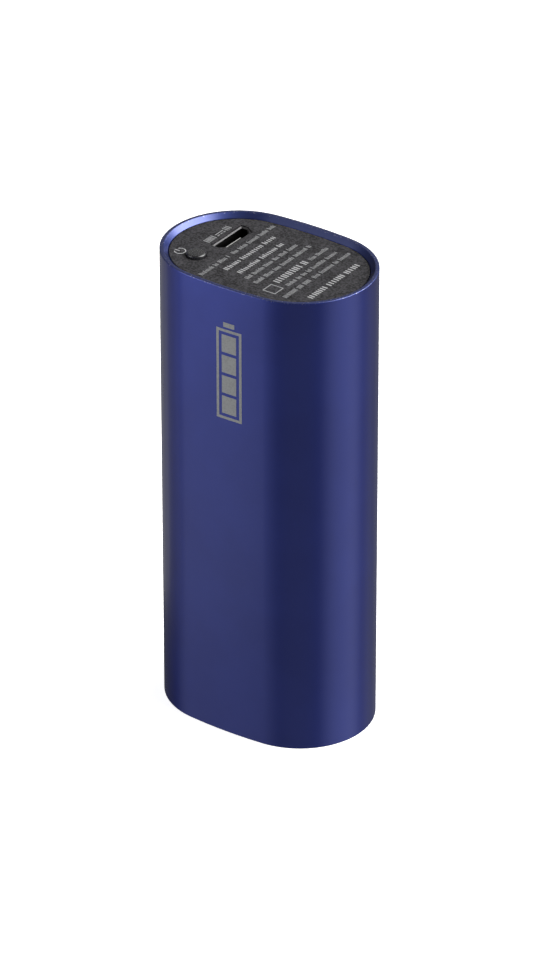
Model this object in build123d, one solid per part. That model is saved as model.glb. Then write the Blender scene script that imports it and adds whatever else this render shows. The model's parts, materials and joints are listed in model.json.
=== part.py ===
from build123d import *
import math
import os

# Pocket power bank standing on its lower rim. Millimetres. The origin is the centre of the lower
# rim, +X runs along the section's long axis, +Y along its short axis and +Z up to the charging end.

# Case
LENGTH = 33.4
DEPTH = 23.0
HEIGHT = 74.1
END_RADIUS = 11.24
WALL = 1.25
BEVEL = 0.68
EDGE_BREAK = 0.1
FIT_GAP = 0.06
PLATE_GAP = 0.14
PLATE = 1.57
BENCH_GAP = 0.05

# Places that follow from the case
END_CENTRE = LENGTH / 2 - END_RADIUS
SIDE_RADIUS = (END_CENTRE**2 + (DEPTH / 2) ** 2 - END_RADIUS**2) / (DEPTH - 2 * END_RADIUS)
SIDE_CENTRE = SIDE_RADIUS - DEPTH / 2
INNER_INSET = WALL + FIT_GAP
TOP_FACE = HEIGHT - BEVEL
TOP_UNDER = TOP_FACE - PLATE
LOW_FACE = BEVEL
LOW_UNDER = LOW_FACE + PLATE

# Inner carrier
CARRIER_WALL = 0.7
CARRIER_INSET = INNER_INSET + CARRIER_WALL
RIB_ROOT = CARRIER_INSET - CARRIER_WALL / 2
RIB = 1.2
CRADLE_HEIGHTS = (13.0, 37.0, 61.0)
CRADLE_LEFT = -3.7
RAIL_LOW = 19.0
RAIL_HIGH = 63.0
RAIL_THICK = 0.8
RAIL_GRIP = 0.9
SCREW_X = -11.6
SCREW_HEIGHTS = (20.0, 62.0)
BOSS_RADIUS = 2.0
SCREW_RADIUS = 0.8
SCREW_HEAD_RADIUS = 1.4
SCREW_HEAD = 1.0
SCREW_HEAD_Y = -5.6
SCREW_SEAT_Y = SCREW_HEAD_Y + SCREW_HEAD
SCREW_END_Y = 4.2
CROSS_LENGTH = 1.6
CROSS_WIDTH = 0.35
CROSS_DEEP = 1.0

# Snap arms on both end plates
ARM_LEFT = -3.2
ARM_WIDTH = 3.6
ARM_OUTER = 9.3
ARM_THICK = 0.9
ARM_LENGTH = 6.0
HOOK = 0.75
HOOK_HEIGHT = 1.2
WINDOW_GAP = 0.2
HOOK_GAP = 0.05

# Cell: one 18 mm by 65 mm cylinder in the wide end of the carrier
CELL_X = END_CENTRE
CELL_RADIUS = 9.15
CELL_LENGTH = 65.0
CELL_LOW = 4.9
CELL_HIGH = CELL_LOW + CELL_LENGTH
WRAP = 0.1
CAN_RADIUS = CELL_RADIUS - WRAP
CAN_WALL = 0.25
CAN_INSIDE = CAN_RADIUS - CAN_WALL - BENCH_GAP
CRIMP_DROP = 0.5
CRIMP_LIP = 1.6
GASKET_HEIGHT = 2.0
GASKET_WALL = 0.85
GASKET_FLOOR = 0.4
GASKET_FLANGE = 1.3
CAP_DISC = 0.9
RING = 0.2
CONTACT_RADIUS = 3.6
RING_BORE = 4.2
WRAP_FOLD = 1.4
CORE_RADIUS = 1.2
ROLL_LOW = CELL_LOW + 0.6
ROLL_HIGH = CELL_HIGH - 4.0
TAB = 0.15
TAB_HALF = 2.0
TAB_REACH = 3.0
TAB_FOLD = 4.0
PAD_RADIUS = 6.0
TAB_LEFT = -1.5
TAB_SIDE = -0.5
SHEET = 0.2
SHEET_GAP = 0.3
SHEET_HALF = 7.6
SHEET_LOW = 18.0
SHEET_HIGH = 63.9

# Circuit board, upright beside the cell
BOARD_FACE = -7.1
BOARD_THICK = 1.2
BOARD_BACK = BOARD_FACE + BOARD_THICK
BOARD_HALF = 8.9
BOARD_LOW = 2.9
BOARD_HIGH = TOP_UNDER - 0.45
NOTCH_HALF = 6.75
NOTCH_HIGH = 15.0

# Charging inlet, micro-USB B
MICRO_Y = 2.9
MICRO_HALF = 3.7
MICRO_NARROW = 2.75
MICRO_THICK = 2.4
MICRO_X = BOARD_FACE - MICRO_THICK / 2
MICRO_WALL = 0.25
MICRO_FLARE = 0.15
MICRO_DEPTH = 6.4
MICRO_HIGH = TOP_FACE - 0.1
MICRO_LOW = MICRO_HIGH - MICRO_DEPTH
MICRO_BACK = 1.4
MICRO_LEG = (1.3, 2.7)
MICRO_LEG_OUT = 0.15
MICRO_TONGUE_X = MICRO_X - MICRO_THICK / 2 + 0.75
MICRO_TONGUE = 0.6
MICRO_TONGUE_HALF = 2.4
MICRO_TONGUE_DROP = 1.1
MICRO_PITCH = 0.65
MICRO_PIN_HALF = 0.14
MICRO_PIN = 0.1
MICRO_GAP = 0.12
MICRO_PIN_DROP = 0.2

# Output port, USB-A
USB_X = -9.1
USB_HALF = 6.55
USB_THICK = 5.7
USB_WALL = 0.3
USB_CORNER = 0.7
USB_LOW = LOW_FACE + 0.1
USB_HIGH = 14.7
USB_BACK = 3.2
USB_FEET = (8.6, 11.2)
USB_FOOT = 0.25
USB_FOOT_OUT = 1.2
USB_TONGUE = 1.84
USB_TONGUE_HALF = 5.55
USB_TONGUE_X = USB_X - USB_THICK / 2 + USB_WALL + 0.7
USB_TONGUE_DROP = 1.2
USB_PIN_HALF = 0.5
USB_PIN = 0.2
USB_PIN_DROPS = {-3.5: 0.4, -1.0: 1.2, 1.0: 1.2, 3.5: 0.4}
USB_GAP = 0.2

# Power button and its side-push switch
BUTTON_X = -9.5
BUTTON_Y = -4.6
BUTTON_RADIUS = 1.45
BUTTON_GAP = 0.1
BUTTON_TOP = TOP_FACE + 0.6
BUTTON_ROUND = 0.3
BUTTON_TRAVEL = 0.35
FLANGE_RADIUS = 2.1
FLANGE = 0.5
STEM_RADIUS = 0.8
SWITCH_HALF = 2.1
SWITCH_LOW = TOP_UNDER - 4.95
SWITCH_BASE = 2.7
SWITCH_COVER = 0.25
COVER_LOW = SWITCH_LOW + SWITCH_BASE
COVER_ARM_HALF = 1.0
COVER_ARM = 0.2
COVER_ARM_LOW = 0.8
PLUNGER_GAP = 0.02
PLUNGER_TOP = COVER_LOW + SWITCH_COVER + BUTTON_TRAVEL + 0.5
PLUNGER_RADIUS = 1.0
PLUNGER_FLANGE = 0.4
WELL_RADIUS = 1.7
WELL_LOW = SWITCH_LOW + 1.2
DOME_RADIUS = 1.6
DOME_RISE = 0.45
DOME_THICK = 0.06
TERMINAL_PITCH = 1.2
TERMINAL_HALF = 0.3
TERMINAL_THICK = 0.3
TERMINAL_FOOT = 0.2
TERMINAL_REACH = 1.0

# Charge lights in the lower end
LIGHT_X = -4.9
LIGHT_PITCH = 2.6
LIGHT_COUNT = 4
LIGHT_RADIUS = 0.45
LIGHT_PIPE = 1.1
LIGHT_BAR = 1.2
LED_HALF = 0.8
LED_THICK = 0.9
LED_HEIGHT = 1.0
LED_LOW = NOTCH_HIGH + 0.4
GUIDE_HIGH = NOTCH_HIGH + 0.3

# Parts on the board's face
INDUCTOR_Y = -1.0
INDUCTOR_Z = 28.0
INDUCTOR_HALF = 3.0
DRUM_FOOT = 0.7
DRUM_TOP = 2.1
DRUM_HIGH = 2.8
DRUM_POST = 1.3
DRUM_RADIUS = 2.8
COIL_RADIUS = 2.6
CHIP_LIFT = 0.1
LEAD_HALF = 0.2
LEAD_THICK = 0.15
LEAD_REACH = 1.0
LEAD_KNEE = 0.4
DIMPLE_INSET = 0.7
DIMPLE_RADIUS = 0.3
DIMPLE = 0.2
POWER_CHIP = {"y": 1.0, "z": 39.0, "width": 3.9, "length": 4.9, "height": 1.4, "rows": 4, "pitch": 1.27}
CONTROLLER = {"y": -0.5, "z": 51.5, "width": 3.9, "length": 8.6, "height": 1.4, "rows": 7, "pitch": 1.27}
PROTECTION = {"y": 4.8, "z": 58.5, "width": 1.6, "length": 2.9, "height": 1.0, "rows": 3, "pitch": 0.95}
MOSFET = {"y": -4.2, "z": 60.2, "width": 4.4, "length": 3.0, "height": 1.0, "rows": 4, "pitch": 0.65}
CHIPS = {"power_chip": POWER_CHIP, "controller_chip": CONTROLLER, "protection_chip": PROTECTION,
         "mosfet_chip": MOSFET}
CAPACITOR = {"length": 3.2, "width": 1.6, "height": 1.5, "end": 0.5}
CAPACITOR_PLACES = ((5.0, 26.0), (5.0, 29.5), (-5.6, 36.0), (-5.6, 39.5), (5.6, 45.0), (-5.6, 64.2))
RESISTOR = {"length": 1.6, "width": 0.8, "height": 0.45, "end": 0.3}
RESISTOR_PLACES = ((5.2, 35.0), (5.2, 37.0), (5.2, 50.0), (5.2, 52.0), (-5.4, 47.0), (-5.4, 49.0),
                   (-5.4, 51.0), (1.0, 62.0), (1.0, 64.0))


def oval(inset):
    """Face of the case's section drawn in by inset: two end arcs and two flatter arcs, all tangent."""
    end_radius = END_RADIUS - inset
    side_radius = SIDE_RADIUS - inset
    turn = math.degrees(math.atan2(SIDE_CENTRE, END_CENTRE))
    right = CenterArc((END_CENTRE, 0), end_radius, -turn, 2 * turn)
    back = CenterArc((0, -SIDE_CENTRE), side_radius, turn, 180 - 2 * turn)
    left = CenterArc((-END_CENTRE, 0), end_radius, 180 - turn, 2 * turn)
    front = CenterArc((0, SIDE_CENTRE), side_radius, 180 + turn, 180 - 2 * turn)
    return make_face([right, back, left, front])


def oval_prism(inset, low, high):
    """Upright prism of the section between two heights."""
    return extrude(Pos(0, 0, low) * oval(inset), high - low, dir=(0, 0, 1))


def block(corner, opposite):
    """Box between two opposite corners, given in either order."""
    size = [abs(b - a) for a, b in zip(corner, opposite)]
    middle = [(a + b) / 2 for a, b in zip(corner, opposite)]
    return Pos(*middle) * Box(*size)


def rod(x, y, low, high, radius):
    """Upright cylinder between two heights."""
    return Pos(x, y, (low + high) / 2) * Cylinder(radius, high - low)


def cross_rod(x, low, high, z, radius):
    """Cylinder along Y between two depths."""
    return Pos(x, (low + high) / 2, z) * Rot(90, 0, 0) * Cylinder(radius, high - low)


def usb_prism(inset, low, high):
    """Upright prism of the output port's section, drawn in by inset."""
    outline = RectangleRounded(USB_THICK - 2 * inset, 2 * (USB_HALF - inset), USB_CORNER - inset)
    return extrude(Pos(USB_X, 0, low) * outline, high - low, dir=(0, 0, 1))


def upside_down(shape):
    """The same shape turned end for end about the middle of the case, front and back kept."""
    return Pos(0, 0, HEIGHT) * mirror(shape, about=Plane.XY)


def group(pieces):
    """Several loose solids of one kind, kept together as one node."""
    return Compound(children=[solid for piece in pieces for solid in piece.solids()])


# Case pieces


def sleeve():
    """Extruded tube with both inner rim edges bevelled and both outer rim edges broken."""
    tube = oval_prism(0, 0, HEIGHT) - oval_prism(WALL, 0, HEIGHT)
    for pick in (0, -1):
        rim = tube.faces().filter_by(Axis.Z).sort_by(Axis.Z)[pick]
        tube = chamfer(rim.inner_wires()[0].edges(), BEVEL)
    for pick in (0, -1):
        rim = tube.faces().filter_by(Axis.Z).sort_by(Axis.Z)[pick]
        tube = chamfer(rim.outer_wire().edges(), EDGE_BREAK)
    return tube


def snap_arms():
    """Two arms below the upper end plate, each with a wedge hook on its outer side."""
    arms = []
    root = TOP_UNDER + PLATE / 2
    tip = TOP_UNDER - ARM_LENGTH
    for side in (1, -1):
        inner = side * (ARM_OUTER - ARM_THICK)
        outer = side * ARM_OUTER
        arms.append(block((ARM_LEFT, inner, tip), (ARM_LEFT + ARM_WIDTH, outer, root)))
        wedge = Polyline((inner, tip), (outer, tip), (outer + side * HOOK, tip + HOOK_HEIGHT),
                         (inner, tip + HOOK_HEIGHT), (inner, tip))
        profile = Plane(origin=(ARM_LEFT, 0, 0), x_dir=(0, 1, 0), z_dir=(1, 0, 0)) * make_face(wedge)
        arms.append(extrude(profile, ARM_WIDTH, dir=(1, 0, 0)))
    return arms


def micro_outline(grow):
    """Section of the charging inlet: a rectangle whose two corners nearest the board are cut off."""
    wide = MICRO_HALF + grow
    narrow = MICRO_NARROW + grow
    half = MICRO_THICK / 2 + grow
    line = Polyline((-half, -wide), (-half, wide), (0, wide), (half, narrow),
                    (half, -narrow), (0, -wide), (-half, -wide))
    return Pos(MICRO_X, MICRO_Y) * make_face(line)


def micro_prism(grow, low, high):
    """Upright prism of the charging inlet's section."""
    return extrude(Pos(0, 0, low) * micro_outline(grow), high - low, dir=(0, 0, 1))


def top_cap():
    """Upper end plate with its inlet slot, button hole and snap arms."""
    cap = oval_prism(WALL + PLATE_GAP, TOP_UNDER, TOP_FACE)
    for arm in snap_arms():
        cap += arm
    cap -= micro_prism(MICRO_GAP, TOP_UNDER - 1, HEIGHT)
    cap -= rod(BUTTON_X, BUTTON_Y, TOP_UNDER - 1, HEIGHT, BUTTON_RADIUS + BUTTON_GAP)
    return cap


def light_places():
    """Depths of the charge lights, evenly spaced about the middle."""
    return [LIGHT_PITCH * (i - (LIGHT_COUNT - 1) / 2) for i in range(LIGHT_COUNT)]


def bottom_cap():
    """Lower end plate with its output port, four light windows and snap arms."""
    cap = oval_prism(WALL + PLATE_GAP, LOW_FACE, LOW_UNDER)
    for arm in snap_arms():
        cap += upside_down(arm)
    cap -= usb_prism(-USB_GAP, 0, LOW_UNDER + 1)
    for y in light_places():
        cap -= rod(LIGHT_X, y, 0, LOW_UNDER + 1, LIGHT_RADIUS + BENCH_GAP)
    return cap


# Inner carrier


def carrier():
    """Whole carrier before it is split: thin oval shell, cell cradles, board rails and screw bosses."""
    shell = oval_prism(INNER_INSET, LOW_UNDER, TOP_UNDER) - oval_prism(CARRIER_INSET, 0, HEIGHT)
    rooted = oval_prism(RIB_ROOT, 0, HEIGHT)
    cell_space = rod(CELL_X, 0, 0, HEIGHT, CELL_RADIUS + BENCH_GAP)
    for z in CRADLE_HEIGHTS:
        rib = block((CRADLE_LEFT, -DEPTH, z), (LENGTH, DEPTH, z + RIB))
        shell += (rib & rooted) - cell_space
    for side in (1, -1):
        edge = side * (BOARD_HALF - RAIL_GRIP)
        for near, far in ((BOARD_FACE - RAIL_THICK, BOARD_FACE), (BOARD_BACK, BOARD_BACK + RAIL_THICK)):
            shell += block((near, edge, RAIL_LOW), (far, side * DEPTH / 2, RAIL_HIGH)) & rooted
    for z in SCREW_HEIGHTS:
        shell += cross_rod(SCREW_X, -DEPTH / 2, DEPTH / 2, z, BOSS_RADIUS) & rooted
    return shell - snap_windows()


def snap_windows():
    """Four slots through the carrier's wall where the end plates' hooks catch."""
    top = TOP_UNDER - ARM_LENGTH - WINDOW_GAP
    low = HEIGHT - TOP_UNDER + ARM_LENGTH - HOOK_HEIGHT - HOOK_GAP
    height = HOOK_HEIGHT + HOOK_GAP + WINDOW_GAP
    left = ARM_LEFT - WINDOW_GAP
    right = ARM_LEFT + ARM_WIDTH + WINDOW_GAP
    windows = block((left, -DEPTH, top), (right, DEPTH, top + height))
    windows += block((left, -DEPTH, low), (right, DEPTH, low + height))
    return windows - block((-LENGTH, -ARM_OUTER, 0), (LENGTH, ARM_OUTER, HEIGHT))


def carrier_front():
    """Half of the carrier towards the front face, with clearance holes and flat screw seats."""
    half = carrier() & block((-LENGTH, -DEPTH, 0), (LENGTH, 0, HEIGHT))
    for z in SCREW_HEIGHTS:
        half -= cross_rod(SCREW_X, -DEPTH, 1, z, SCREW_RADIUS + 2 * BENCH_GAP)
        half -= cross_rod(SCREW_X, -DEPTH, SCREW_SEAT_Y, z, SCREW_HEAD_RADIUS + 2 * BENCH_GAP)
    return half


def carrier_back():
    """Half of the carrier towards the back face, with blind screw holes."""
    half = carrier() & block((-LENGTH, 0, 0), (LENGTH, DEPTH, HEIGHT))
    for z in SCREW_HEIGHTS:
        half -= cross_rod(SCREW_X, -1, SCREW_END_Y + 0.5, z, SCREW_RADIUS + BENCH_GAP / 2)
    return half


def carrier_screws():
    """Two cross-head screws that hold the carrier halves together."""
    screws = []
    for z in SCREW_HEIGHTS:
        screw = cross_rod(SCREW_X, SCREW_HEAD_Y, SCREW_SEAT_Y, z, SCREW_HEAD_RADIUS)
        screw += cross_rod(SCREW_X, SCREW_SEAT_Y, SCREW_END_Y, z, SCREW_RADIUS)
        for size in ((CROSS_LENGTH, CROSS_DEEP, CROSS_WIDTH), (CROSS_WIDTH, CROSS_DEEP, CROSS_LENGTH)):
            screw -= Pos(SCREW_X, SCREW_HEAD_Y, z) * Box(*size)
        screws.append(screw)
    return group(screws)


# Cell


def cell_can():
    """Steel can with a closed lower end and an upper edge crimped inwards."""
    crimp = CELL_HIGH - CRIMP_DROP
    can = rod(CELL_X, 0, CELL_LOW, crimp, CAN_RADIUS)
    can -= rod(CELL_X, 0, CELL_LOW + CAN_WALL, HEIGHT, CAN_RADIUS - CAN_WALL)
    lip = rod(CELL_X, 0, crimp - CAN_WALL, crimp, CAN_RADIUS)
    return can + (lip - rod(CELL_X, 0, 0, HEIGHT, CAN_RADIUS - CRIMP_LIP))


def cell_winding():
    """Wound electrodes: a thick roll with a narrow core hole."""
    roll = rod(CELL_X, 0, ROLL_LOW, ROLL_HIGH, CAN_INSIDE)
    return roll - rod(CELL_X, 0, 0, HEIGHT, CORE_RADIUS)


def cell_gasket():
    """Nylon ring with an inner flange that seals and insulates the cap inside the crimp."""
    high = CELL_HIGH - CRIMP_DROP - CAN_WALL
    ring = rod(CELL_X, 0, high - GASKET_HEIGHT, high, CAN_INSIDE)
    ring -= rod(CELL_X, 0, high - GASKET_HEIGHT + GASKET_FLOOR, HEIGHT, CAN_INSIDE - GASKET_WALL)
    return ring - rod(CELL_X, 0, 0, HEIGHT, CAN_INSIDE - GASKET_WALL - GASKET_FLANGE)


def cell_cap():
    """Positive end: a disc in the gasket with a raised contact."""
    high = CELL_HIGH - CRIMP_DROP - CAN_WALL
    seat = high - GASKET_HEIGHT + GASKET_FLOOR + BENCH_GAP
    disc = rod(CELL_X, 0, seat, seat + CAP_DISC, CAN_INSIDE - GASKET_WALL - BENCH_GAP)
    return disc + rod(CELL_X, 0, seat, CELL_HIGH, CONTACT_RADIUS)


def cell_ring():
    """Fibre washer on the positive end."""
    low = CELL_HIGH - CRIMP_DROP
    washer = rod(CELL_X, 0, low, low + RING, CAN_RADIUS - BENCH_GAP)
    return washer - rod(CELL_X, 0, 0, HEIGHT, RING_BORE)


def cell_wrap():
    """Shrunk plastic film around the can, turned in over both ends."""
    low = CELL_LOW - WRAP / 2
    high = CELL_HIGH - CRIMP_DROP + RING + WRAP
    wrap = rod(CELL_X, 0, low, high, CELL_RADIUS)
    wrap -= rod(CELL_X, 0, CELL_LOW, high - WRAP, CAN_RADIUS)
    return wrap - rod(CELL_X, 0, 0, HEIGHT, CELL_RADIUS - WRAP_FOLD)


def tab_positive():
    """Nickel strip welded to the raised contact and folded down on the back of the board."""
    high = CELL_HIGH + TAB
    strip = block((BOARD_BACK, -TAB_HALF, CELL_HIGH), (CELL_X + TAB_REACH, TAB_HALF, high))
    return strip + block((BOARD_BACK, -TAB_HALF, high - TAB_FOLD), (BOARD_BACK + TAB, TAB_HALF, high))


def tab_negative():
    """Nickel strip welded to the can's base, led round the light guide to the board's leg."""
    high = CELL_LOW - WRAP / 2
    low = high - TAB
    edge = ARM_OUTER - ARM_THICK - WINDOW_GAP
    leg = NOTCH_HALF + WINDOW_GAP
    strip = block((TAB_LEFT, -TAB_HALF, low), (CELL_X + TAB_REACH, TAB_HALF, high))
    strip += block((CRADLE_LEFT, -TAB_HALF, low), (TAB_SIDE, edge, high))
    strip += block((BOARD_BACK, leg, low), (TAB_SIDE, edge, high))
    return strip + block((BOARD_BACK, leg, low), (BOARD_BACK + TAB, edge, low + TAB_FOLD))


def foam_pads():
    """Soft discs that hold the cell between the two end plates."""
    low = rod(CELL_X, 0, LOW_UNDER, CELL_LOW - WRAP / 2 - TAB, PAD_RADIUS)
    high = rod(CELL_X, 0, CELL_HIGH + TAB, TOP_UNDER, PAD_RADIUS)
    return group([low, high])


def insulation_sheet():
    """Fibre sheet between the cell and the back of the board."""
    x = CELL_X - CELL_RADIUS - SHEET_GAP
    return block((x - SHEET, -SHEET_HALF, SHEET_LOW), (x, SHEET_HALF, SHEET_HIGH))


# Charging inlet


def micro_usb_shell():
    """Folded steel shell of the inlet with a flared mouth and two side legs on the board."""
    hollow = micro_prism(-MICRO_WALL, 0, HEIGHT)
    shell = micro_prism(0, MICRO_LOW, MICRO_HIGH) - hollow
    mouth = shell.faces().filter_by(Axis.Z).sort_by(Axis.Z)[-1]
    shell = chamfer(mouth.inner_wires()[0].edges(), MICRO_FLARE)
    low, high = (MICRO_LOW + height for height in MICRO_LEG)
    for side in (1, -1):
        inner = MICRO_Y + side * (MICRO_HALF - MICRO_WALL)
        outer = MICRO_Y + side * (MICRO_HALF + MICRO_LEG_OUT)
        shell += block((MICRO_X - MICRO_THICK / 4, inner, low), (BOARD_FACE, outer, high)) - hollow
    return shell


def micro_usb_tongue():
    """Insulating body that fills the back of the inlet and carries the thin tongue."""
    body = micro_prism(-MICRO_WALL, MICRO_LOW, MICRO_LOW + MICRO_BACK)
    low = (MICRO_TONGUE_X, MICRO_Y - MICRO_TONGUE_HALF, MICRO_LOW + 1)
    high = (MICRO_TONGUE_X + MICRO_TONGUE, MICRO_Y + MICRO_TONGUE_HALF, MICRO_HIGH - MICRO_TONGUE_DROP)
    return body + block(low, high)


def micro_usb_contacts():
    """Five contact strips on the tongue, the side that faces the board."""
    x = MICRO_TONGUE_X + MICRO_TONGUE
    low, high = MICRO_LOW + MICRO_BACK, MICRO_HIGH - MICRO_TONGUE_DROP - MICRO_PIN_DROP
    strips = []
    for i in range(-2, 3):
        y = MICRO_Y + MICRO_PITCH * i
        strips.append(block((x, y - MICRO_PIN_HALF, low), (x + MICRO_PIN, y + MICRO_PIN_HALF, high)))
    return group(strips)


# Output port


def usb_a_shell():
    """Folded steel shell of the port with two feet on the board's legs."""
    shell = usb_prism(0, USB_LOW, USB_HIGH) - usb_prism(USB_WALL, 0, HEIGHT)
    low, high = USB_FEET
    for side in (1, -1):
        inner = side * (USB_HALF - USB_WALL / 2)
        outer = side * (NOTCH_HALF + USB_FOOT_OUT)
        shell += block((BOARD_FACE - USB_FOOT, inner, low), (BOARD_FACE, outer, high))
    return shell


def usb_a_tongue():
    """Insulating body at the back of the port with the broad contact tongue."""
    body = usb_prism(USB_WALL, USB_HIGH - USB_BACK, USB_HIGH)
    low = (USB_TONGUE_X, -USB_TONGUE_HALF, USB_LOW + USB_TONGUE_DROP)
    high = (USB_TONGUE_X + USB_TONGUE, USB_TONGUE_HALF, USB_HIGH - USB_BACK / 2)
    return body + block(low, high)


def usb_a_contacts():
    """Four contact strips on the tongue, the two outer ones longer."""
    x = USB_TONGUE_X + USB_TONGUE
    strips = []
    for y, drop in USB_PIN_DROPS.items():
        low = (x, y - USB_PIN_HALF, USB_LOW + USB_TONGUE_DROP + drop)
        strips.append(block(low, (x + USB_PIN, y + USB_PIN_HALF, USB_HIGH - USB_BACK)))
    return group(strips)


# Button and switch


def power_button():
    """Raised button with a rounded edge, a flange that stops it under the plate, and a stem."""
    flange_high = TOP_UNDER - BUTTON_GAP
    head = rod(BUTTON_X, BUTTON_Y, flange_high, BUTTON_TOP, BUTTON_RADIUS)
    head = fillet(head.edges().sort_by(Axis.Z)[-1], BUTTON_ROUND)
    flange = rod(BUTTON_X, BUTTON_Y, flange_high - FLANGE, flange_high, FLANGE_RADIUS)
    return head + flange + rod(BUTTON_X, BUTTON_Y, PLUNGER_TOP, flange_high, STEM_RADIUS)


def switch_block(low, high):
    """Square block of the switch's outline between two heights."""
    corner = (BUTTON_X - SWITCH_HALF, BUTTON_Y - SWITCH_HALF, low)
    return block(corner, (BUTTON_X + SWITCH_HALF, BUTTON_Y + SWITCH_HALF, high))


def switch_base():
    """Moulded base of the switch with the well that holds the dome."""
    return switch_block(SWITCH_LOW, COVER_LOW) - rod(BUTTON_X, BUTTON_Y, WELL_LOW, HEIGHT, WELL_RADIUS)


def switch_cover():
    """Steel plate over the switch with an arm down each side."""
    high = COVER_LOW + SWITCH_COVER
    cover = switch_block(COVER_LOW, high)
    for side in (1, -1):
        inner = BUTTON_Y + side * SWITCH_HALF
        corner = (BUTTON_X - COVER_ARM_HALF, inner, SWITCH_LOW + COVER_ARM_LOW)
        cover += block(corner, (BUTTON_X + COVER_ARM_HALF, inner + side * COVER_ARM, high))
    return cover - rod(BUTTON_X, BUTTON_Y, 0, HEIGHT, PLUNGER_RADIUS + BUTTON_GAP)


def switch_dome():
    """Thin sprung dome that clicks under the plunger and returns it."""
    outer = (DOME_RADIUS**2 + DOME_RISE**2) / (2 * DOME_RISE)
    centre = Pos(BUTTON_X, BUTTON_Y, WELL_LOW + DOME_RISE - outer)
    shell = centre * Sphere(outer) - centre * Sphere(outer - DOME_THICK)
    return shell & rod(BUTTON_X, BUTTON_Y, WELL_LOW, WELL_LOW + 1, WELL_RADIUS)


def switch_plunger():
    """Small post between the dome and the button's stem, kept in by its flange."""
    low = WELL_LOW + DOME_RISE + PLUNGER_GAP
    plunger = rod(BUTTON_X, BUTTON_Y, low, PLUNGER_TOP, PLUNGER_RADIUS)
    return plunger + rod(BUTTON_X, BUTTON_Y, low, low + PLUNGER_FLANGE, WELL_RADIUS - BUTTON_GAP)


def switch_terminals():
    """Four formed terminals from the base to pads on the board."""
    terminals = []
    high = SWITCH_LOW + TERMINAL_THICK
    for i in range(4):
        near = BUTTON_Y + TERMINAL_PITCH * (i - 1.5) - TERMINAL_HALF
        far = near + 2 * TERMINAL_HALF
        bar = block((BUTTON_X + SWITCH_HALF, near, SWITCH_LOW), (BOARD_FACE, far, high))
        foot = block((BOARD_FACE - TERMINAL_FOOT, near, SWITCH_LOW - TERMINAL_REACH), (BOARD_FACE, far, high))
        terminals.append(bar + foot)
    return group(terminals)


# Circuit board and what is on it


def circuit_board():
    """Fibreglass board with a notch for the output port."""
    board = block((BOARD_FACE, -BOARD_HALF, BOARD_LOW), (BOARD_BACK, BOARD_HALF, BOARD_HIGH))
    return board - block((BOARD_FACE - 1, -NOTCH_HALF, 0), (BOARD_BACK + 1, NOTCH_HALF, NOTCH_HIGH))


def board_disc(low, high, radius):
    """Disc on the inductor's axis, from one height above the board's face to another."""
    place = Pos(BOARD_FACE - (low + high) / 2, INDUCTOR_Y, INDUCTOR_Z)
    return place * Rot(0, 90, 0) * Cylinder(radius, high - low)


def inductor_core():
    """Ferrite drum of the voltage converter's inductor: square foot, post and round top."""
    corner = (BOARD_FACE - DRUM_FOOT, INDUCTOR_Y - INDUCTOR_HALF, INDUCTOR_Z - INDUCTOR_HALF)
    foot = block(corner, (BOARD_FACE, INDUCTOR_Y + INDUCTOR_HALF, INDUCTOR_Z + INDUCTOR_HALF))
    post = board_disc(DRUM_FOOT / 2, (DRUM_TOP + DRUM_HIGH) / 2, DRUM_POST)
    return foot + post + board_disc(DRUM_TOP, DRUM_HIGH, DRUM_RADIUS)


def inductor_coil():
    """Copper winding around the drum's post."""
    coil = board_disc(DRUM_FOOT + BENCH_GAP, DRUM_TOP - BENCH_GAP, COIL_RADIUS)
    return coil - board_disc(0, DRUM_HIGH, DRUM_POST + BENCH_GAP)


def chip_body(chip):
    """Moulded package with a dimple that marks its first lead."""
    y, z, width, length = chip["y"], chip["z"], chip["width"], chip["length"]
    x = BOARD_FACE - CHIP_LIFT - chip["height"]
    corner = (x, y - width / 2, z - length / 2)
    body = block(corner, (BOARD_FACE - CHIP_LIFT, y + width / 2, z + length / 2))
    place = Pos(x, y - width / 2 + DIMPLE_INSET, z + length / 2 - DIMPLE_INSET)
    return body - place * Rot(0, 90, 0) * Cylinder(DIMPLE_RADIUS, DIMPLE)


def chip_leads(chip):
    """Bent leads down both long sides of a chip: an arm, a shin and a foot each."""
    leads = []
    x = BOARD_FACE - CHIP_LIFT - chip["height"] / 2
    for side in (1, -1):
        root = chip["y"] + side * chip["width"] / 2
        knee = root + side * LEAD_KNEE
        heel = knee - side * LEAD_THICK
        toe = root + side * LEAD_REACH
        for i in range(chip["rows"]):
            z = chip["z"] + chip["pitch"] * (i - (chip["rows"] - 1) / 2)
            low, high = z - LEAD_HALF, z + LEAD_HALF
            arm = block((x, root, low), (x + LEAD_THICK, knee, high))
            shin = block((x, heel, low), (BOARD_FACE, knee, high))
            foot = block((BOARD_FACE - LEAD_THICK, heel, low), (BOARD_FACE, toe, high))
            leads.append(arm + shin + foot)
    return group(leads)


def small_parts(kind, places):
    """Bodies and metal ends of small two-ended parts that stand on the board's face."""
    bodies, ends = [], []
    x = BOARD_FACE - kind["height"]
    for y, z in places:
        low, high = z - kind["width"] / 2, z + kind["width"] / 2
        tip = kind["length"] / 2
        neck = tip - kind["end"]
        bodies.append(block((x, y - neck, low), (BOARD_FACE, y + neck, high)))
        for side in (1, -1):
            ends.append(block((x, y + side * neck, low), (BOARD_FACE, y + side * tip, high)))
    return group(bodies), group(ends)


def charge_leds():
    """Four light chips in a row above the light guide."""
    chips = []
    for y in light_places():
        low = (BOARD_BACK, y - LED_HALF, LED_LOW)
        chips.append(block(low, (BOARD_BACK + LED_THICK, y + LED_HALF, LED_LOW + LED_HEIGHT)))
    return group(chips)


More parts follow.
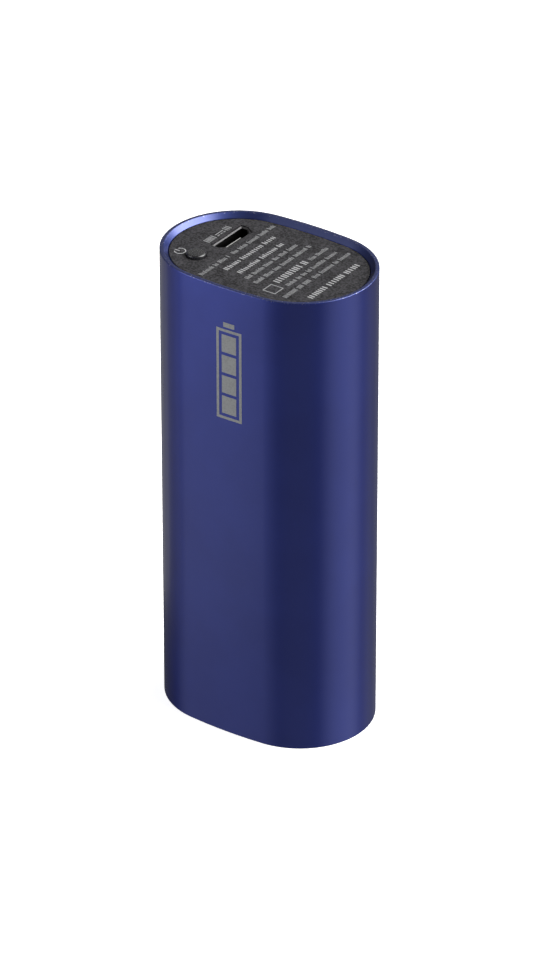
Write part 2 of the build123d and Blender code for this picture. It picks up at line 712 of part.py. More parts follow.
def light_guide():
    """Clear comb: four pipes from the light chips down to the windows, joined by a bar."""
    half = LIGHT_PIPE / 2
    low = LOW_UNDER + BENCH_GAP
    reach = LIGHT_PITCH * (LIGHT_COUNT - 1) / 2 + half
    guide = block((LIGHT_X - half, -reach, low), (LIGHT_X + half, reach, low + LIGHT_BAR))
    for y in light_places():
        guide += block((LIGHT_X - half, y - half, low), (LIGHT_X + half, y + half, GUIDE_HIGH))
        guide += rod(LIGHT_X, y, LOW_FACE + BENCH_GAP, low + LIGHT_BAR / 2, LIGHT_RADIUS)
    return guide


def all_pieces():
    """Every node of the power bank by name."""
    makers = (
        sleeve, top_cap, bottom_cap, carrier_front, carrier_back, carrier_screws,
        cell_can, cell_winding, cell_gasket, cell_cap, cell_ring, cell_wrap,
        tab_positive, tab_negative, foam_pads, insulation_sheet,
        micro_usb_shell, micro_usb_tongue, micro_usb_contacts,
        usb_a_shell, usb_a_tongue, usb_a_contacts,
        power_button, switch_base, switch_cover, switch_dome, switch_plunger, switch_terminals,
        circuit_board, inductor_core, inductor_coil, charge_leds, light_guide,
    )
    pieces = {maker.__name__: maker() for maker in makers}
    for name, chip in CHIPS.items():
        pieces[name] = chip_body(chip)
        pieces[name + "_leads"] = chip_leads(chip)
    pieces["ceramic_capacitors"], pieces["capacitor_terminals"] = small_parts(CAPACITOR, CAPACITOR_PLACES)
    pieces["resistors"], pieces["resistor_terminals"] = small_parts(RESISTOR, RESISTOR_PLACES)
    return pieces


os.makedirs("parts", exist_ok=True)
for node, shape in all_pieces().items():
    export_step(shape, f"parts/{node}.step")
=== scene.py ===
"""Looks of a pocket power bank: fine shapes, materials, print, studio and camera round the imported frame."""

import json
import math

import bpy
from mathutils import Matrix, Vector


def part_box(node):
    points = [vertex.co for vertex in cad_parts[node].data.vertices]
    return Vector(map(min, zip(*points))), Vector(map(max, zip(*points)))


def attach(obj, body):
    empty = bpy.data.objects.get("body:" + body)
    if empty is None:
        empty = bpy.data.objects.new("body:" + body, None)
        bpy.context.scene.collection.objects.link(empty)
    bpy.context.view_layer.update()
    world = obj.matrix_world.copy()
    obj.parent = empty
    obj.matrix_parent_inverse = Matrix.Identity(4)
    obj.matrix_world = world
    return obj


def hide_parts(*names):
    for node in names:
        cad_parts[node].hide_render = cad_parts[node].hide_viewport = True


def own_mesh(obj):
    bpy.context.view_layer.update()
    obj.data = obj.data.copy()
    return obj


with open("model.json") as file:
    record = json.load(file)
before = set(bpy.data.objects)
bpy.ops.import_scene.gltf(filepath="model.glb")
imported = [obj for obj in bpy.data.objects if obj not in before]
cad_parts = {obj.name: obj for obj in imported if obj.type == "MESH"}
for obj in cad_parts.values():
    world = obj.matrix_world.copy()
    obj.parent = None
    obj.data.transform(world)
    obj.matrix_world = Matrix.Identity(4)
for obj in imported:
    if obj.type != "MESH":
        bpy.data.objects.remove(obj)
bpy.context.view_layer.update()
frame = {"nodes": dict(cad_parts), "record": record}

# The object stands on z = 0, +X runs along the section's long axis and +Z up. All lengths are in metres.
MM = 0.001
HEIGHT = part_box("sleeve")[1].z
END_RADIUS = 11.24 * MM
END_CENTRE = 5.46 * MM
DEPTH = 23.0 * MM
SIDE_RADIUS = (END_CENTRE**2 + (DEPTH / 2) ** 2 - END_RADIUS**2) / (DEPTH - 2 * END_RADIUS)
SIDE_CENTRE = SIDE_RADIUS - DEPTH / 2
WALL = 1.25 * MM
BEVEL = 0.68 * MM
TOP_FACE = HEIGHT - BEVEL
# Straight steps that stand for each round stretch
END_STEPS = 72
SIDE_STEPS = 16
ROUND_STEPS = 4
TURN_STEPS = 64
RING_STEPS = 40


# Mesh helpers


def add_piece(name, mesh, finish, body="case"):
    """Links a mesh as a piece that rides on a CAD body and takes a material."""
    piece = bpy.data.objects.new(name, mesh)
    bpy.context.scene.collection.objects.link(piece)
    mesh.materials.append(finish)
    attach(piece, body)
    return piece


def even_normals(piece):
    """Lets the large faces set the shading, so that small rounds stay crisp."""
    modifier = piece.modifiers.new("even normals", "WEIGHTED_NORMAL")
    modifier.weight = 100


def rounded(corners, radii):
    """Closed outline whose corners are arcs of the given radii."""
    outline = []
    count = len(corners)
    for i in range(count):
        corner = Vector(corners[i])
        before = (Vector(corners[i - 1]) - corner).normalized()
        after = (Vector(corners[(i + 1) % count]) - corner).normalized()
        half = before.angle(after) / 2
        centre = corner + (before + after).normalized() * radii[i] / math.sin(half)
        start = corner + before * radii[i] / math.tan(half) - centre
        end = corner + after * radii[i] / math.tan(half) - centre
        first = math.atan2(start.y, start.x)
        sweep = math.remainder(math.atan2(end.y, end.x) - first, 2 * math.pi)
        for step in range(ROUND_STEPS + 1):
            angle = first + sweep * step / ROUND_STEPS
            outline.append((centre.x + radii[i] * math.cos(angle), centre.y + radii[i] * math.sin(angle)))
    return outline


def oval(inset):
    """Section of the case drawn in by inset: two end arcs and two flatter side arcs, all tangent."""
    turn = math.atan2(SIDE_CENTRE, END_CENTRE)
    side = math.pi - 2 * turn
    arcs = (
        (END_CENTRE, 0, END_RADIUS, -turn, 2 * turn, END_STEPS),
        (0, -SIDE_CENTRE, SIDE_RADIUS, turn, side, SIDE_STEPS),
        (-END_CENTRE, 0, END_RADIUS, math.pi - turn, 2 * turn, END_STEPS),
        (0, SIDE_CENTRE, SIDE_RADIUS, math.pi + turn, side, SIDE_STEPS),
    )
    points = []
    for x, y, radius, start, sweep, steps in arcs:
        for i in range(steps):
            angle = start + sweep * i / steps
            points.append((x + (radius - inset) * math.cos(angle), y + (radius - inset) * math.sin(angle)))
    return points


def loft(name, rings, closed):
    """Mesh of quads through rings of equal point counts. A closed loft joins the last ring to the first."""
    size = len(rings[0])
    verts = [point for ring in rings for point in ring]
    faces = []
    for i in range(len(rings) if closed else len(rings) - 1):
        low, high = i * size, (i + 1) % len(rings) * size
        for j in range(size):
            k = (j + 1) % size
            faces.append((low + j, low + k, high + k, high + j))
    if not closed:
        faces.append(tuple(reversed(range(size))))
        faces.append(tuple(range(len(verts) - size, len(verts))))
    mesh = bpy.data.meshes.new(name)
    mesh.from_pydata(verts, [], faces)
    mesh.shade_smooth()
    return mesh


def lathe(name, profile, centre):
    """Mesh turned about an upright axis from (radius, height) points, closed at its first and last ring."""
    rings = []
    for radius, z in profile:
        ring = []
        for i in range(TURN_STEPS):
            angle = 2 * math.pi * i / TURN_STEPS
            ring.append((centre[0] + radius * math.cos(angle), centre[1] + radius * math.sin(angle), z))
        rings.append(ring)
    return loft(name, rings, False)


# Node helpers


class Shader:
    """A material with its Principled shader and short calls to add and link nodes."""

    def __init__(self, name, **values):
        self.material = bpy.data.materials.new(name)
        self.material.use_nodes = True
        self.tree = self.material.node_tree
        self.surface = self.tree.nodes["Principled BSDF"]
        for key, value in values.items():
            socket = key.replace("_", " ").title().replace("Ior", "IOR")
            self.surface.inputs[socket].default_value = value
        coordinates = self.node("ShaderNodeTexCoord")
        self.place = coordinates.outputs["Object"]
        self.facing = coordinates.outputs["Normal"]

    def node(self, kind, **settings):
        made = self.tree.nodes.new(kind)
        for key, value in settings.items():
            setattr(made, key, value)
        return made

    def link(self, source, target):
        self.tree.links.new(source, target)

    def stretched(self, x, y, z):
        """Object coordinates multiplied on each axis."""
        mapping = self.node("ShaderNodeMapping")
        mapping.inputs["Scale"].default_value = (x, y, z)
        self.link(self.place, mapping.inputs["Vector"])
        return mapping.outputs["Vector"]

    def noise(self, scale, detail=2.0, place=None):
        made = self.node("ShaderNodeTexNoise")
        made.inputs["Scale"].default_value = scale
        made.inputs["Detail"].default_value = detail
        self.link(place or self.place, made.inputs["Vector"])
        return made.outputs["Fac"]

    def cells(self, scale):
        made = self.node("ShaderNodeTexVoronoi")
        made.inputs["Scale"].default_value = scale
        self.link(self.place, made.inputs["Vector"])
        return made.outputs["Distance"]

    def remap(self, value, low, high, out_low=0.0, out_high=1.0):
        """Smooth step of a value from low..high to out_low..out_high."""
        made = self.node("ShaderNodeMapRange", interpolation_type="SMOOTHSTEP")
        made.inputs["From Min"].default_value = low
        made.inputs["From Max"].default_value = high
        made.inputs["To Min"].default_value = out_low
        made.inputs["To Max"].default_value = out_high
        self.link(value, made.inputs["Value"])
        return made.outputs["Result"]

    def math(self, operation, first, second=0.0):
        made = self.node("ShaderNodeMath", operation=operation)
        for socket, value in zip(made.inputs, (first, second)):
            if isinstance(value, (int, float)):
                socket.default_value = value
            else:
                self.link(value, socket)
        return made.outputs["Value"]

    def axis(self, name, vector=None):
        made = self.node("ShaderNodeSeparateXYZ")
        self.link(vector or self.place, made.inputs["Vector"])
        return made.outputs[name]

    def blend(self, amount, first, second):
        """Colour that runs from first to second with amount. Each is a colour or a socket."""
        made = self.node("ShaderNodeMix", data_type="RGBA")
        self.link(amount, made.inputs["Factor"])
        colours = [socket for socket in made.inputs if socket.type == "RGBA"]
        for socket, value in zip(colours, (first, second)):
            if isinstance(value, tuple):
                socket.default_value = (*value, 1.0)
            else:
                self.link(value, socket)
        return next(socket for socket in made.outputs if socket.type == "RGBA")

    def colour(self, source):
        self.link(source, self.surface.inputs["Base Color"])

    def roughness(self, source):
        self.link(source, self.surface.inputs["Roughness"])

    def bump(self, height, depth):
        """Adds relief whose full height is depth metres, after any relief already there."""
        made = self.node("ShaderNodeBump")
        made.inputs["Strength"].default_value = 1.0
        made.inputs["Distance"].default_value = depth
        self.link(height, made.inputs["Height"])
        normal = self.surface.inputs["Normal"]
        if normal.is_linked:
            self.link(normal.links[0].from_socket, made.inputs["Normal"])
        self.link(made.outputs["Normal"], normal)


# Materials


def anodised():
    """Blue anodised aluminium: bead-blasted grain, faint clouding, a painted highlight that makes faces
    turned up or down (bevels and lips) paler, and tiny bright nicks on both rims."""
    s = Shader("anodised_blue", metallic=1.0, specular_tint=(0.0, 0.0, 0.1, 1.0), coat_weight=1.0,
               coat_roughness=0.22, coat_ior=1.5)
    cloud = s.noise(90, 3)
    grain = s.noise(9000, 2)
    base = s.blend(s.remap(cloud, 0.35, 0.65), (0.0185, 0.0345, 0.25), (0.0215, 0.0395, 0.275))
    # Painted highlight: faces turned up or down (bevels and lips) take a paler, greyer blue.
    painted_highlight_facing = s.math("ABSOLUTE", s.axis("Z", s.facing))
    base = s.blend(s.remap(painted_highlight_facing, 0.35, 0.6), base, (0.0425, 0.061, 0.218))
    base = s.blend(s.remap(grain, 0.3, 0.75, 0.0, 0.12), base, (0.05, 0.075, 0.4))
    z = s.axis("Z")
    edge, band = 0.02 * MM, 0.22 * MM
    upper = s.remap(z, HEIGHT - band, HEIGHT - edge)
    lower = s.remap(z, edge, band, 1.0, 0.0)
    rim = s.math("MAXIMUM", upper, lower)
    nick = s.remap(s.noise(3200, 4), 0.56, 0.72, 0.0, 0.6)
    worn = s.math("MULTIPLY", rim, nick)
    s.colour(s.blend(worn, base, (0.42, 0.43, 0.58)))
    s.roughness(s.remap(grain, 0.2, 0.8, 0.43, 0.5))
    s.bump(grain, 4e-6)
    s.bump(s.noise(1200, 2), 3e-6)
    return s.material


def moulded(name, dark, light, rough=0.55, grain=3400, gloss=0.4):
    """Moulded plastic with a spark-eroded texture and a faint, broader mottle."""
    s = Shader(name, specular_ior_level=gloss)
    speck = s.noise(grain, 2)
    mottle = s.noise(grain / 8, 2)
    shade = s.math("ADD", s.remap(speck, 0.36, 0.64, 0.0, 0.8), s.remap(mottle, 0.3, 0.7, 0.0, 0.2))
    s.colour(s.blend(shade, dark, light))
    s.roughness(s.remap(speck, 0.3, 0.7, rough - 0.08, rough + 0.1))
    s.bump(speck, 30e-6)
    s.bump(s.cells(9000), 8e-6)
    return s.material


def satin(name, colour, rough):
    """Hard plastic polished by touch, with a fine, even mottle."""
    s = Shader(name, specular_ior_level=0.8)
    speck = s.noise(5000, 2)
    paler = tuple(1.35 * c for c in colour)
    s.colour(s.blend(s.remap(speck, 0.35, 0.65), colour, paler))
    s.roughness(s.remap(speck, 0.3, 0.7, rough - 0.03, rough + 0.08))
    s.bump(speck, 1.5e-6)
    return s.material


def ink(name, colour, rough=0.5):
    """Printed ink with slightly uneven cover."""
    s = Shader(name, specular_ior_level=0.4)
    cover = s.noise(5000, 2)
    darker = tuple(0.78 * c for c in colour)
    s.colour(s.blend(s.remap(cover, 0.3, 0.6), darker, colour))
    s.roughness(s.remap(cover, 0.3, 0.7, rough - 0.05, rough + 0.1))
    return s.material


def metal(name, colour, rough, stretch=(1, 1, 1)):
    """Bare or plated metal with rolling or drawing marks along the axes whose stretch is under 1."""
    s = Shader(name, metallic=1.0)
    marks = s.noise(4000, 3, s.stretched(*stretch))
    darker = tuple(0.72 * c for c in colour)
    s.colour(s.blend(s.remap(marks, 0.3, 0.7), darker, colour))
    s.roughness(s.remap(marks, 0.25, 0.75, rough - 0.08, rough + 0.1))
    s.bump(marks, 1.5e-6)
    return s.material


def inlet_steel():
    """Plated steel of the charging inlet: grey at the flared mouth, with painted shade that turns it dark
    inside.
    """
    s = Shader("inlet_steel", metallic=1.0)
    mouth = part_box("micro_usb_shell")[1].z
    full_shade_depth, bright = 0.2 * MM, 0.16 * MM
    marks = s.noise(3000, 3, s.stretched(1, 1, 0.2))
    # Painted shade: from the mouth downwards the steel goes from grey to near black.
    unshaded_mouth = s.remap(s.axis("Z"), mouth - full_shade_depth, mouth - bright)
    s.colour(s.blend(unshaded_mouth, (0.008, 0.008, 0.008), (0.085, 0.083, 0.085)))
    s.roughness(s.remap(marks, 0.25, 0.75, 0.4, 0.6))
    s.bump(marks, 2e-6)
    return s.material


def inlet_tongue():
    """Black insulator with a pale stripe along the front of the tongue, a painted highlight."""
    s = Shader("inlet_tongue")
    low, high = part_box("micro_usb_tongue")
    depth, reach, fade = 0.1 * MM, 0.66 * MM, 0.04 * MM
    grain = s.noise(3000, 3)
    # Painted highlight: a pale stripe over the top 0.1 mm of the tongue, along its first 0.66 mm from -X.
    front = s.remap(s.axis("Z"), high.z - depth, high.z - depth + fade / 2)
    edge = s.remap(s.axis("X"), low.x + reach - fade, low.x + reach, 1.0, 0.0)
    s.colour(s.blend(s.math("MULTIPLY", front, edge), (0.008, 0.008, 0.008), (0.6, 0.6, 0.58)))
    s.roughness(s.remap(grain, 0.3, 0.7, 0.5, 0.7))
    s.bump(grain, 3e-6)
    return s.material


def plastic(name, colour, rough, scale=3000, depth=4e-6, coat=0.0):
    """Smooth plastic, resin or paper with a little uneven colour and surface."""
    s = Shader(name, coat_weight=coat)
    cloud = s.noise(scale, 3)
    darker = tuple(0.7 * c for c in colour)
    s.colour(s.blend(s.remap(cloud, 0.3, 0.7), darker, colour))
    s.roughness(s.remap(cloud, 0.3, 0.7, rough - 0.05, rough + 0.08))
    s.bump(cloud, depth)
    return s.material


FINISHES = {
    "sleeve": anodised(),
    "end_plate": moulded("plate_moulding", (0.012, 0.0117, 0.0124), (0.063, 0.0613, 0.066), 0.7, gloss=0.12),
    "carrier_plastic": moulded("carrier_moulding", (0.012, 0.012, 0.012), (0.024, 0.024, 0.024), 0.5),
    "steel": metal("plated_steel", (0.62, 0.62, 0.63), 0.3, (1, 1, 0.08)),
    "cell_foils": metal("wound_foils", (0.62, 0.42, 0.3), 0.35, (0.06, 1, 1)),
    "gasket": plastic("nylon", (0.72, 0.72, 0.66), 0.45),
    "fibre": plastic("fibre_paper", (0.78, 0.77, 0.7), 0.8, 5000, 12e-6),
    "wrap": plastic("shrink_film", (0.08, 0.32, 0.29), 0.25, 900, 6e-6, 0.6),
    "nickel": metal("nickel_strip", (0.66, 0.63, 0.57), 0.28, (0.1, 1, 1)),
    "foam": moulded("cell_foam", (0.012, 0.012, 0.012), (0.05, 0.05, 0.05), 0.85, 2500),
    "port_metal": metal("nickel_plate", (0.74, 0.73, 0.71), 0.22, (1, 1, 0.1)),
    "port_plastic": plastic("port_insulator", (0.018, 0.018, 0.02), 0.4),
    "contact": metal("gold_plate", (0.83, 0.62, 0.27), 0.2, (1, 1, 0.1)),
    "button": satin("button_moulding", (0.016, 0.016, 0.017), 0.2),
    "board": plastic("solder_mask", (0.02, 0.17, 0.075), 0.3, 1200, 4e-6, 0.4),
    "ferrite": plastic("ferrite", (0.06, 0.06, 0.065), 0.6, 6000, 8e-6),
    "copper": metal("enamelled_copper", (0.72, 0.31, 0.13), 0.25),
    "chip": plastic("chip_resin", (0.026, 0.026, 0.028), 0.55, 8000, 4e-6),
    "leads": metal("tin_plate", (0.64, 0.64, 0.65), 0.3),
    "ceramic": plastic("tan_ceramic", (0.5, 0.36, 0.22), 0.5, 6000),
    "led": plastic("clear_resin", (0.85, 0.83, 0.62), 0.15, 3000, 1e-6, 0.5),
    "light_guide": plastic("frosted_guide", (0.82, 0.86, 0.88), 0.35, 4000, 3e-6),
}
SPECIAL = {
    "micro_usb_shell": inlet_steel(),
    "micro_usb_tongue": inlet_tongue(),
    # Painted shade: the gold-plated contacts deep in the inlet are coloured dark brown.
    "micro_usb_contacts": metal("inlet_contacts_painted_shade", (0.12, 0.09, 0.04), 0.4, (1, 1, 0.1)),
}
PRINT = ink("plate_ink", (0.31, 0.315, 0.32))
BOLD_PRINT = ink("bold_ink", (0.43, 0.435, 0.44))
SILVER = ink("silver_ink", (0.36, 0.37, 0.38), 0.4)


# Case and button


def sleeve():
    """Extruded tube with softened lips and bevels, smooth all round."""
    edge, crease = 0.1 * MM, 0.05 * MM
    corners = [(0, 0), (0, HEIGHT), (WALL - BEVEL, HEIGHT), (WALL, TOP_FACE),
               (WALL, BEVEL), (WALL - BEVEL, 0)]
    profile = rounded(corners, [edge, edge, crease, crease, crease, crease])
    rings = [[(x, y, z) for x, y in oval(inset)] for inset, z in profile]
    rings.reverse()
    piece = add_piece("sleeve_shell", loft("sleeve_shell", rings, True), FINISHES["sleeve"])
    even_normals(piece)
    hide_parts("sleeve")


def button():
    """Domed push button with a rounded shoulder, a stop flange and a stem."""
    low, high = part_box("power_button")
    x, y = (low.x + high.x) / 2, (low.y + high.y) / 2
    radius, flange_radius, stem_radius = 1.45 * MM, (high.x - low.x) / 2, 0.8 * MM
    flange_drop, flange = 1.67 * MM, 0.5 * MM
    flange_high = TOP_FACE - flange_drop
    flange_low = flange_high - flange
    shoulder, crown = 0.26 * MM, 0.08 * MM
    shoulder_high = high.z - crown
    profile = [(stem_radius, low.z), (stem_radius, flange_low), (flange_radius, flange_low),
               (flange_radius, flange_high), (radius, flange_high)]
    steps = 8
    for i in range(steps + 1):
        angle = math.pi / 2 * i / steps
        across, down = shoulder * (1 - math.cos(angle)), shoulder * (1 - math.sin(angle))
        profile.append((radius - across, shoulder_high - down))
    inner = radius - shoulder
    for i in range(1, steps):
        share = i / steps
        profile.append((inner * (1 - share), shoulder_high + crown * (1 - (1 - share) ** 2)))
    mesh = lathe("push_button", profile, (x, y))
    piece = add_piece("push_button", mesh, FINISHES["button"], "button")
    even_normals(piece)
    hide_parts("power_button")


def dome():
    """Thin sprung dome of the switch, part of a sphere. The mesh is fixed; the real dome flattens as the
    button goes down.
    """
    low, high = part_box("switch_dome")
    x, y = (low.x + high.x) / 2, (low.y + high.y) / 2
    rim, rise, thick = (high.x - low.x) / 2, high.z - low.z, 0.06 * MM
    radius = (rim**2 + rise**2) / (2 * rise)
    centre = high.z - radius
    steps = 16
    profile = []
    for shell, order in ((radius - thick, range(1, steps + 1)), (radius, range(steps, 0, -1))):
        reach = math.acos((low.z - centre) / shell)
        for i in order:
            angle = reach * i / steps
            profile.append((shell * math.sin(angle), centre + shell * math.cos(angle)))
    mesh = lathe("click_dome", profile, (x, y))
    piece = add_piece("click_dome", mesh, FINISHES["port_metal"])
    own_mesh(piece)
    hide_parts("switch_dome")


def soften(node, width):
    """Joins a CAD node's split edges, then breaks them with a small round."""
    piece = frame["nodes"][node]
    weld = piece.modifiers.new("weld", "WELD")
    weld.merge_threshold = 0.001 * MM
    bevel = piece.modifiers.new("edge break", "BEVEL")
    bevel.width = width
    bevel.segments = 2
    bevel.limit_method = "ANGLE"
    bevel.angle_limit = math.radians(40)
    even_normals(piece)


def dress_nodes():
    """Gives every CAD node the finish of its slot, or its own."""
    slots = {part["node"]: part["material_slot"] for part in frame["record"]["subparts"]}
    for name, node in frame["nodes"].items():
        node.data.materials.clear()
        node.data.materials.append(SPECIAL.get(name) or FINISHES[slots[name]])


# Print


def stamp(name, shapes, place, finish):
    """Thin raised print: closed outlines in their own plane, each lifted by place(u, v, height)."""
    lift = 0.015 * MM
    root = -0.01 * MM
    verts, faces = [], []
    for outline in shapes:
        size, first = len(outline), len(verts)
        verts += [place(u, v, root) for u, v in outline] + [place(u, v, lift) for u, v in outline]
        faces.append(tuple(first + i for i in reversed(range(size))))
        faces.append(tuple(first + size + i for i in range(size)))
        for i in range(size):
            j = (i + 1) % size
            faces.append((first + i, first + j, first + size + j, first + size + i))
    mesh = bpy.data.meshes.new(name)
    mesh.from_pydata(verts, [], faces)
    return add_piece(name, mesh, finish)


def on_plate(u, v, height):
    """Place on the upper plate: u runs along +Y and v towards -X, so that rows start at the front."""
    return (-v, u, TOP_FACE + height)


def bar(u, v, width, height):
    """Small upright bar with its lower left corner at u, v."""
    return [(u, v), (u + width, v), (u + width, v + height), (u, v + height)]


def ring_part(u, v, outer, inner, start, sweep):
    """Quads along an arc of a ring."""
    shapes = []
    for i in range(RING_STEPS):
        first = start + sweep * i / RING_STEPS
        second = start + sweep * (i + 1) / RING_STEPS
        shapes.append([(u + outer * math.cos(first), v + outer * math.sin(first)),
                       (u + outer * math.cos(second), v + outer * math.sin(second)),
                       (u + inner * math.cos(second), v + inner * math.sin(second)),
                       (u + inner * math.cos(first), v + inner * math.sin(first))])
    return shapes


def shuffle(state):
    """Next whole number of a fixed sequence that looks random."""
    return (state * 75 + 74) % 65537


def code_row(u_start, u_end, base, cap, stroke, small, state):
    """A row of plain upright bars, in uneven groups, that carries no letters.

    Each group's first bar and about a fifth of the others have the full height, cap, and the rest have the
    share small of it. The row starts from its own number, state, in the fixed sequence.
    """
    shapes = []
    u = u_start
    while u < u_end - stroke:
        state = shuffle(state)
        for i in range(3 + state % 9):
            if u > u_end - stroke:
                break
            state = shuffle(state)
            tall = i == 0 or state % 5 == 0
            shapes.append(bar(u, base, stroke, cap if tall else small * cap))
            u += stroke * (2.0 + 0.3 * (state // 32 % 3))
        u += 0.5 * cap
    return shapes


# Rows on the upper plate, in millimetres: start and end along Y, baseline along X, bar height, bar width,
# and the share of that height that the small bars have
ROWS = (
    (-9.1, -2.2, -5.2, 0.75, 0.12, 0.75),
    (-1.2, 9.3, -5.2, 0.75, 0.12, 0.75),
    (-5.8, 6.3, -3.15, 0.85, 0.2, 0.78),
    (-5.5, 5.7, -1.0, 0.8, 0.2, 0.78),
    (-6.3, 6.35, 0.8, 0.75, 0.12, 0.75),
    (-6.7, 7.05, 2.6, 0.78, 0.12, 0.75),
    (-4.8, 3.1, 5.08, 1.1, 0.24, 1.0),
    (3.5, 8.0, 5.0, 0.75, 0.12, 0.75),
    (-4.7, 7.9, 6.75, 0.72, 0.12, 0.75),
    (-7.9, -1.55, 8.5, 0.75, 0.12, 1.0),
    (-0.7, 8.3, 8.5, 0.75, 0.12, 0.75),
    (-6.0, 6.65, 11.6, 0.9, 0.24, 1.0),
    (-0.4, 1.7, -10.15, 1.1, 0.16, 1.0),
    (4.2, 5.5, -10.15, 1.1, 0.16, 1.0),
)
# Bars at least this wide take the paler ink
BOLD_STROKE = 0.2


def plate_rows():
    """Rows of bars on the upper plate, thin and bold."""
    thin, bold = [], []
    for i, (start, end, base, cap, stroke, small) in enumerate(ROWS):
        row = code_row(start * MM, end * MM, -base * MM, cap * MM, stroke * MM, small, 11 + 7 * i)
        if stroke >= BOLD_STROKE:
            bold += row
        else:
            thin += row
    stamp("plate_rows", thin, on_plate, PRINT)
    stamp("bold_rows", bold, on_plate, BOLD_PRINT)


def plate_marks():
    """Signs on the upper plate: a power mark, a direct-current mark and a plain square frame."""
    line = 0.15 * MM
    u, v, radius = -4.83 * MM, 12.17 * MM, 0.88 * MM
    mark = ring_part(u, v, radius, radius - line, math.radians(125), math.radians(290))
    mark.append(bar(u - line / 2, v + 0.1 * radius, line, radius))
    stamp("power_mark", mark, on_plate, BOLD_PRINT)
    u, v, width, rise = 2.0 * MM, 10.3 * MM, 1.9 * MM, 0.45 * MM
    dash, pitch = 0.5 * MM, 0.7 * MM
    current = [bar(u, v + rise, width, line)]
    current += [bar(u + i * pitch, v, dash, line) for i in range(3)]
    stamp("current_mark", current, on_plate, PRINT)
    u, v, size = -7.9 * MM, -6.5 * MM, 2.2 * MM
    inside = size - 2 * line
    frame_mark = [
        bar(u, v, size, line),
        bar(u, v + size - line, size, line),
        bar(u, v + line, line, inside),
        bar(u + size - line, v + line, line, inside),
    ]
    stamp("plain_frame", frame_mark, on_plate, PRINT)


def on_front(u, v, height):
    """Place on the front face: u along +X, v up, following the crown of the wall."""
    radius = SIDE_RADIUS + height
    return (radius * math.sin(u / SIDE_RADIUS), SIDE_CENTRE - radius * math.cos(u / SIDE_RADIUS), v)


def front_mark():
    """Plain battery sign up the front face: outline, end cap and four level bars.

    Wide bars are cut into steps, so that they follow the crown.
    """
    left, low, width, height = -1.15 * MM, 52.9 * MM, 4.3 * MM, 14.6 * MM
    line, gap = 0.42 * MM, 0.5 * MM
    steps, levels = 8, 4
    step = width / steps
    shapes = []
    for i in range(steps):
        shapes.append(bar(left + i * step, low, step, line))
        shapes.append(bar(left + i * step, low + height - line, step, line))
    for edge in (left, left + width - line):
        shapes.append(bar(edge, low + line, line, height - 2 * line))
    cap_width, cap_rise, cap_gap, cap_steps = 1.9 * MM, 0.75 * MM, 0.35 * MM, 4
    cap_left, cap_step = left + (width - cap_width) / 2, cap_width / cap_steps
    for i in range(cap_steps):
        shapes.append(bar(cap_left + i * cap_step, low + height + cap_gap, cap_step, cap_rise))
    level_left, level_step = left + line + gap, (width - 2 * (line + gap)) / steps
    rise = (height - 2 * line - (levels + 1) * gap) / levels
    for level in range(levels):
        base = low + line + gap + level * (rise + gap)
        for i in range(steps):
            shapes.append(bar(level_left + i * level_step, base, level_step, rise))
    stamp("battery_sign", shapes, on_front, SILVER)


# Studio


def direction(azimuth, elevation):
    """Unit vector at an azimuth from +X and an elevation, both in degrees."""
    a, e = math.radians(azimuth), math.radians(elevation)
    return (math.cos(e) * math.cos(a), math.cos(e) * math.sin(a), math.sin(e))


# Soft round sources of the surround: azimuth, elevation, full radius and outer radius in degrees, strength
SOURCES = (
    (33, 38, 16, 38, 6.9),
    (75, 42, 10, 34, 1.3),
    (-140, 42, 5, 28, 0.55),
    (11, -28, 0, 36, 0.72),
    (45, -30, 5, 34, 0.185),
    (85, -34, 5, 34, 0.138),
    (-126, -28, 0, 36, 0.373),
    (-57, -32, 5, 40, 0.16),
    (-57, -75, 5, 45, 0.25),
    (125, 30, 5, 28, 0.3),
)
AMBIENT = 0.079
# Soft square panels near the object: azimuth in degrees, height in metres, power in watts
PANELS = (
    (-127, 0.09, 0.19),
    (-127, -0.03, 0.0095),
    (-170, -0.03, 0.0098),
    (160, -0.03, 0.0115),
)
PANEL_SIZE = 0.12
PANEL_DISTANCE = 0.2


def studio_light():
    """World made of broad soft sources on a dim surround."""
    world = bpy.data.worlds.new("studio")
    bpy.context.scene.world = world
    world.use_nodes = True
    nodes, links = world.node_tree.nodes, world.node_tree.links
    place = nodes.new("ShaderNodeTexCoord").outputs["Generated"]
    total = None
    for azimuth, elevation, inner, outer, strength in SOURCES:
        dot = nodes.new("ShaderNodeVectorMath")
        dot.operation = "DOT_PRODUCT"
        dot.inputs[1].default_value = direction(azimuth, elevation)
        links.new(place, dot.inputs[0])
        fall = nodes.new("ShaderNodeMapRange")
        fall.interpolation_type = "SMOOTHSTEP"
        fall.inputs["From Min"].default_value = math.cos(math.radians(outer))
        fall.inputs["From Max"].default_value = math.cos(math.radians(inner))
        fall.inputs["To Max"].default_value = strength
        links.new(dot.outputs["Value"], fall.inputs["Value"])
        add = nodes.new("ShaderNodeMath")
        links.new(fall.outputs["Result"], add.inputs[0])
        if total is None:
            add.inputs[1].default_value = AMBIENT
        else:
            links.new(total, add.inputs[1])
        total = add.outputs["Value"]
    nodes["Background"].inputs["Color"].default_value = (1.0, 1.0, 1.0, 1.0)
    links.new(total, nodes["Background"].inputs["Strength"])


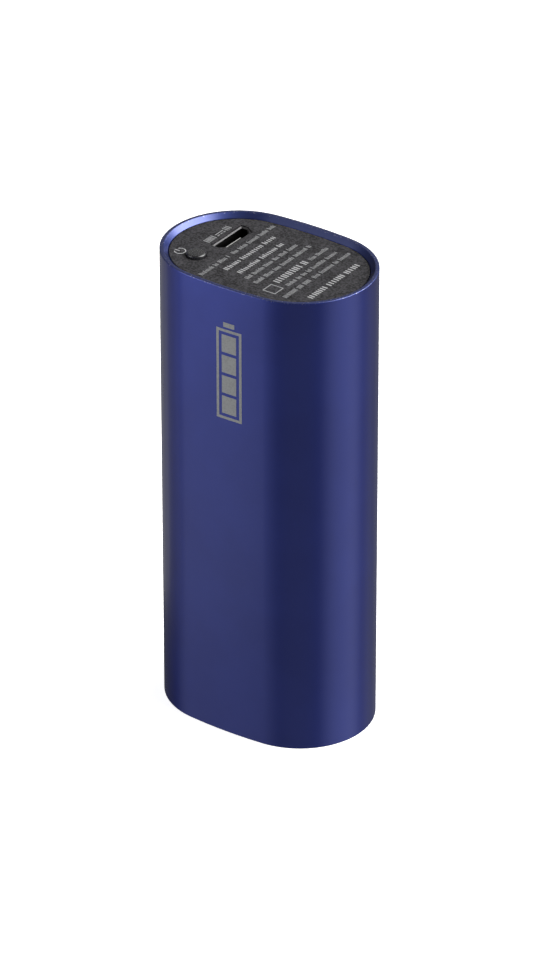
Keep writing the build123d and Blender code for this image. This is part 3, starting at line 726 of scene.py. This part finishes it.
def near_lights():
    """Soft panels close to the object, whose light falls off along its height."""
    aim = Vector((0, 0, 50 * MM))
    for i, (azimuth, height, power) in enumerate(PANELS):
        data = bpy.data.lights.new(f"panel_{i}", "AREA")
        data.shape = "RECTANGLE"
        data.size, data.size_y = PANEL_SIZE, PANEL_SIZE
        data.energy = power
        panel = bpy.data.objects.new(f"panel_{i}", data)
        bpy.context.scene.collection.objects.link(panel)
        panel.location = Vector(direction(azimuth, 0)) * PANEL_DISTANCE + Vector((0, 0, height))
        panel.rotation_euler = (aim - panel.location).to_track_quat("-Z", "Y").to_euler()
        panel.visible_camera = False


def floor():
    """Plain pale floor. It glows and shows to the camera alone, so the object's metal doesn't mirror it."""
    mesh = bpy.data.meshes.new("floor")
    half = 6.0
    corners = [(-half, -half, 0), (half, -half, 0), (half, half, 0), (-half, half, 0)]
    mesh.from_pydata(corners, [], [(0, 1, 2, 3)])
    ground = bpy.data.objects.new("floor", mesh)
    bpy.context.scene.collection.objects.link(ground)
    s = Shader("pale_floor", base_color=(0.8, 0.8, 0.8, 1.0), roughness=0.9, specular_ior_level=0.0,
               emission_color=(1.0, 1.0, 1.0, 1.0), emission_strength=0.75)
    mesh.materials.append(s.material)
    ground.visible_glossy = False
    ground.visible_diffuse = False
    ground.visible_transmission = False
    ground.visible_shadow = False


def camera():
    """Camera at the photograph's viewing angle, with a long lens."""
    azimuth, elevation, roll = math.radians(34.82), math.radians(29.94), math.radians(0.07)
    distance, aside, above = 0.8963, 0.0868 * MM, 0.1839 * MM
    level = math.cos(elevation)
    back = Vector((math.sin(azimuth) * level, -math.cos(azimuth) * level, math.sin(elevation)))
    right = Vector((math.cos(azimuth), math.sin(azimuth), 0))
    up = back.cross(right)
    target = Vector((0, 0, HEIGHT / 2)) + aside * right + above * up
    across = math.cos(roll) * right - math.sin(roll) * up
    upward = math.sin(roll) * right + math.cos(roll) * up
    data = bpy.data.cameras.new("camera")
    data.lens = 230.7
    data.sensor_width = 36
    data.clip_end = 20
    made = bpy.data.objects.new("camera", data)
    bpy.context.scene.collection.objects.link(made)
    turn = Matrix((across, upward, back)).transposed().to_4x4()
    made.matrix_world = Matrix.Translation(target + distance * back) @ turn
    bpy.context.scene.camera = made


dress_nodes()
sleeve()
button()
dome()
for plate_node in ("top_cap", "bottom_cap"):
    soften(plate_node, 0.12 * MM)
soften("usb_a_shell", 0.1 * MM)
plate_rows()
plate_marks()
front_mark()
studio_light()
near_lights()
floor()
camera()
bpy.context.scene.view_settings.view_transform = "Standard"
